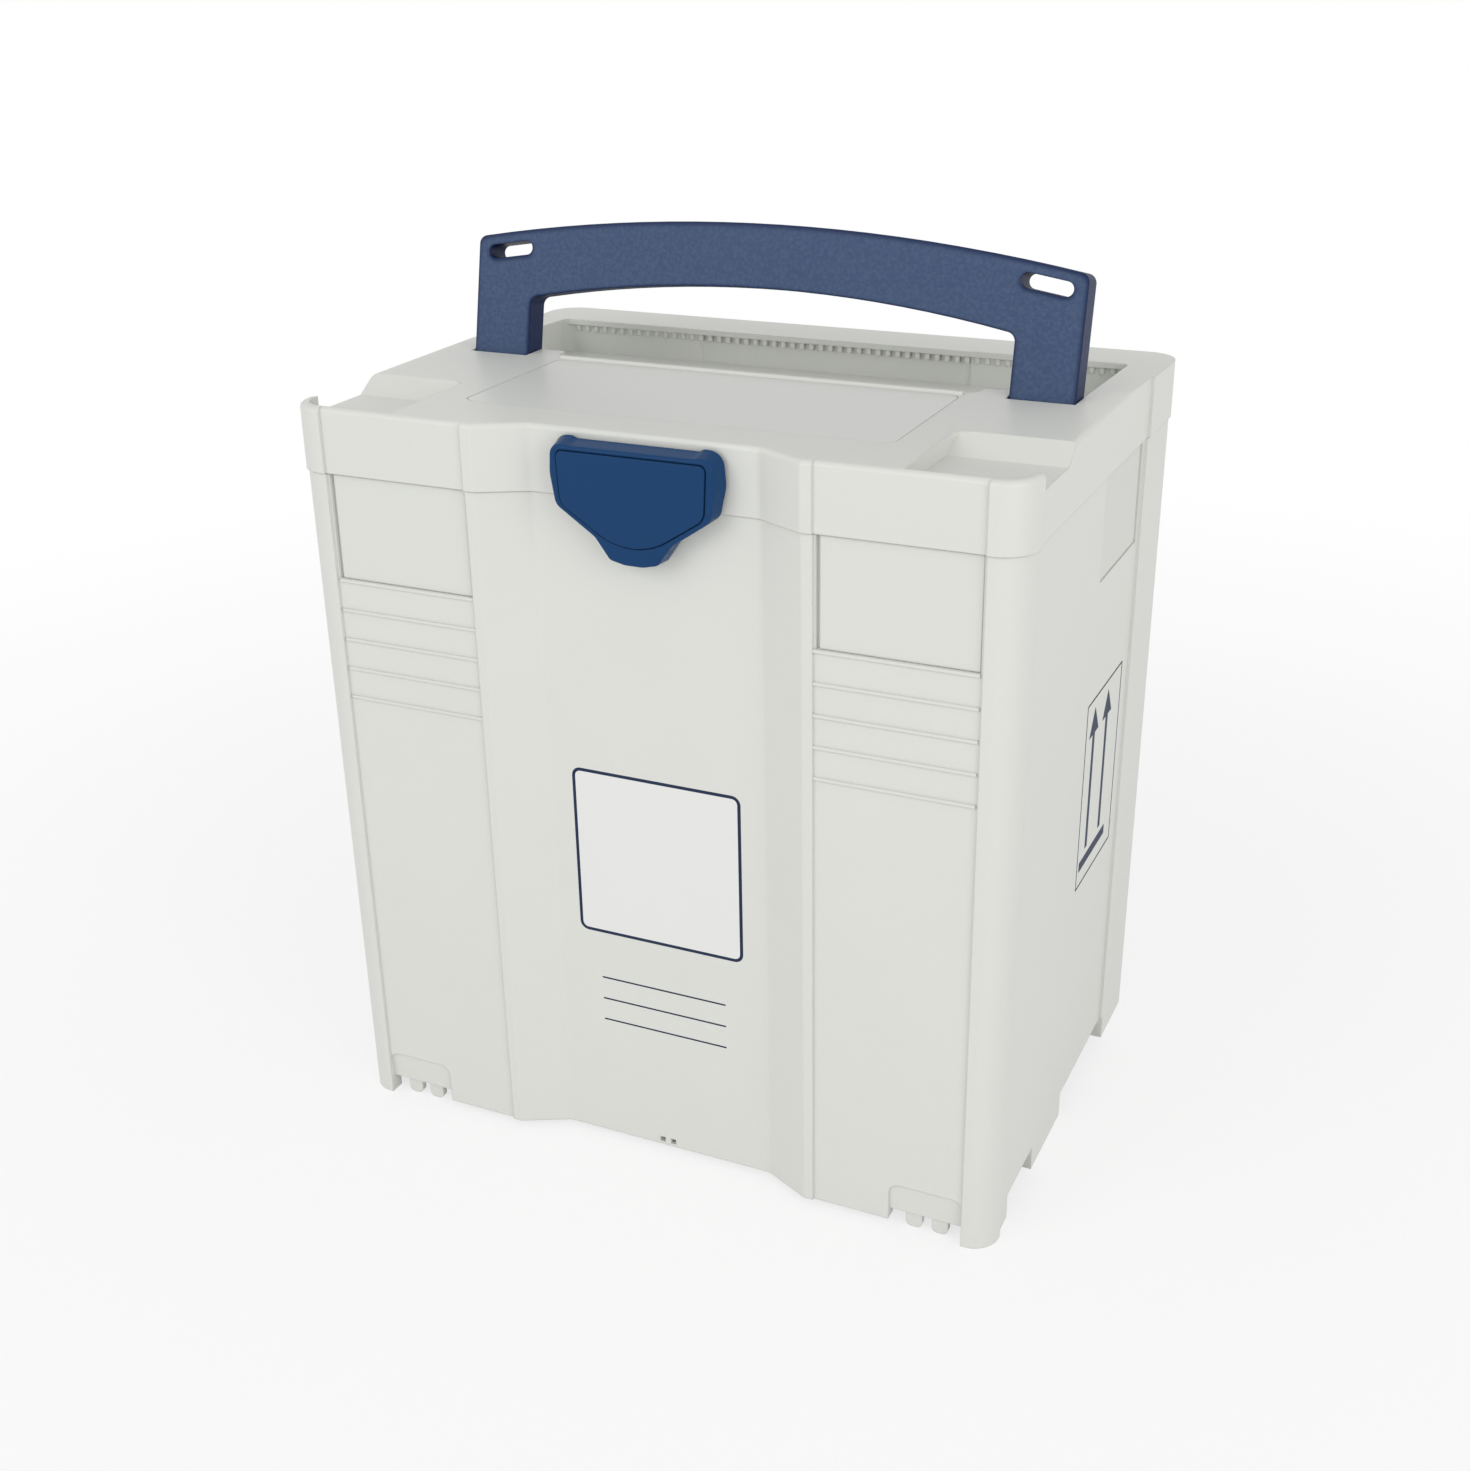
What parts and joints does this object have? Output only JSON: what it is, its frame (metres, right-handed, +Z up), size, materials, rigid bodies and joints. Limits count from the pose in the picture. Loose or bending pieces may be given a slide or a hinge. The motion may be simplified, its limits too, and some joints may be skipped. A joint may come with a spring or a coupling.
{
  "type": "specimen transport box",
  "caption": "Upright stackable transport case with a rotary front latch, hinged lid and folding handle, packed with an insulating liner, cool packs and a sealed specimen container.",
  "frame": {"origin": "centre of the case's plan at the plane its feet stand on", "axes": "+X to the right as seen from the latch side, +Y towards the hinged rear, +Z up; the latch faces -Y"},
  "size_m": [0.396, 0.296, 0.4935],
  "materials": {
    "case_plastic": "light grey, fine satin texture",
    "handle_plastic": "dark blue, fine grained",
    "latch_plastic": "dark blue, smooth",
    "label_plastic": "plain grey plate",
    "card": "plain coated card",
    "steel": "bright drawn",
    "insulation_foam": "moulded closed-cell foam",
    "rack_foam": "cut closed-cell foam",
    "cool_pack_plastic": "blown shell filled with coolant",
    "container_plastic": "smooth translucent white",
    "container_lid_plastic": "smooth blue",
    "gasket_rubber": "soft silicone",
    "absorbent": "absorbent felt"
  },
  "bodies": {
    "base": {"base_shell": "case_plastic", "front_label_card_left": "card", "front_label_card_right": "card", "side_label_card_left": "card", "side_label_card_right": "card", "hinge_pin_left": "steel", "hinge_pin_right": "steel", "insulating_liner": "insulation_foam", "cool_pack_left": "cool_pack_plastic", "cool_pack_right": "cool_pack_plastic", "cool_pack_top": "cool_pack_plastic", "secondary_container": "container_plastic", "secondary_container_lid": "container_lid_plastic", "secondary_container_gasket": "gasket_rubber", "absorbent_pad": "absorbent", "tube_rack_1": "rack_foam", "tube_rack_2": "rack_foam"},
    "lid": {"lid_shell": "case_plastic", "lid_label_plate": "label_plastic", "lid_insulation_plug": "insulation_foam", "handle_pin_left": "steel", "handle_pin_right": "steel", "latch_spring_washer": "steel"},
    "handle": {"carry_handle": "handle_plastic"},
    "latch": {"latch_knob": "latch_plastic", "latch_face_cap": "latch_plastic", "latch_retaining_washer": "steel", "latch_screw": "steel"}
  },
  "joints": [
    {"name": "lid_hinge", "type": "hinge", "parent": "base", "child": "lid", "pos_m": [0, 0.1432, 0.381], "axis": [-1, 0, 0], "range_deg": [0, 95]},
    {"name": "handle_fold", "type": "hinge", "parent": "lid", "child": "handle", "pos_m": [0, 0.0055, 0.404], "axis": [-1, 0, 0], "range_deg": [-12, 78]},
    {"name": "latch_turn", "type": "hinge", "parent": "lid", "child": "latch", "pos_m": [0, -0.135, 0.394], "axis": [0, -1, 0], "range_deg": [0, 180]}
  ]
}
